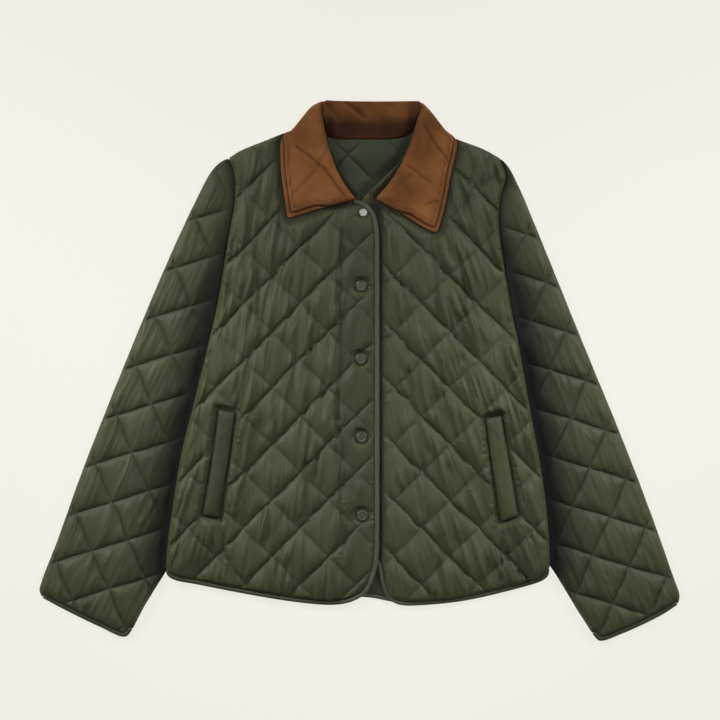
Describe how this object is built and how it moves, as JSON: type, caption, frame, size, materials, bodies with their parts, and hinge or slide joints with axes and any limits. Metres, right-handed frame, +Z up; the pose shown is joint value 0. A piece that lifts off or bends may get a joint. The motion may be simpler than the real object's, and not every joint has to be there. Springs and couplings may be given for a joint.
{
  "type": "quilted jacket laid flat",
  "caption": "Cropped diamond-quilted jacket laid flat and closed, with a folded contrast collar, slanted welt pockets, bound edges and snaps down the front.",
  "frame": {"origin": "on the surface that the jacket lies on, under the middle of its bounding box", "axes": "+Z up out of the front of the jacket, +Y towards the collar, +X towards the wearer's left sleeve"},
  "size_m": [0.8173, 0.6908, 0.025],
  "materials": {
    "shell_cloth": "smooth matte nylon-like quilted cloth",
    "collar_cloth": "soft napped cloth",
    "binding_tape": "matte woven tape",
    "snap_pale": "satin metal",
    "snap_dark": "satin enamel"
  },
  "bodies": {
    "root": {"back_panel": "shell_cloth", "front_right": "shell_cloth", "front_left": "shell_cloth", "sleeve_right_under": "shell_cloth", "sleeve_right_upper": "shell_cloth", "sleeve_left_under": "shell_cloth", "sleeve_left_upper": "shell_cloth", "binding_back_hem": "binding_tape", "binding_front_right": "binding_tape", "binding_front_left": "binding_tape", "binding_cuff_right": "binding_tape", "binding_cuff_left": "binding_tape", "collar_under_right": "collar_cloth", "collar_leaf_right": "collar_cloth", "collar_under_left": "collar_cloth", "collar_leaf_left": "collar_cloth", "collar_stand": "collar_cloth", "collar_fall": "collar_cloth", "welt_right": "shell_cloth", "welt_left": "shell_cloth", "snap_1": "snap_pale", "snap_2": "snap_dark", "snap_3": "snap_dark", "snap_4": "snap_dark", "snap_5": "snap_dark"}
  },
  "joints": []
}
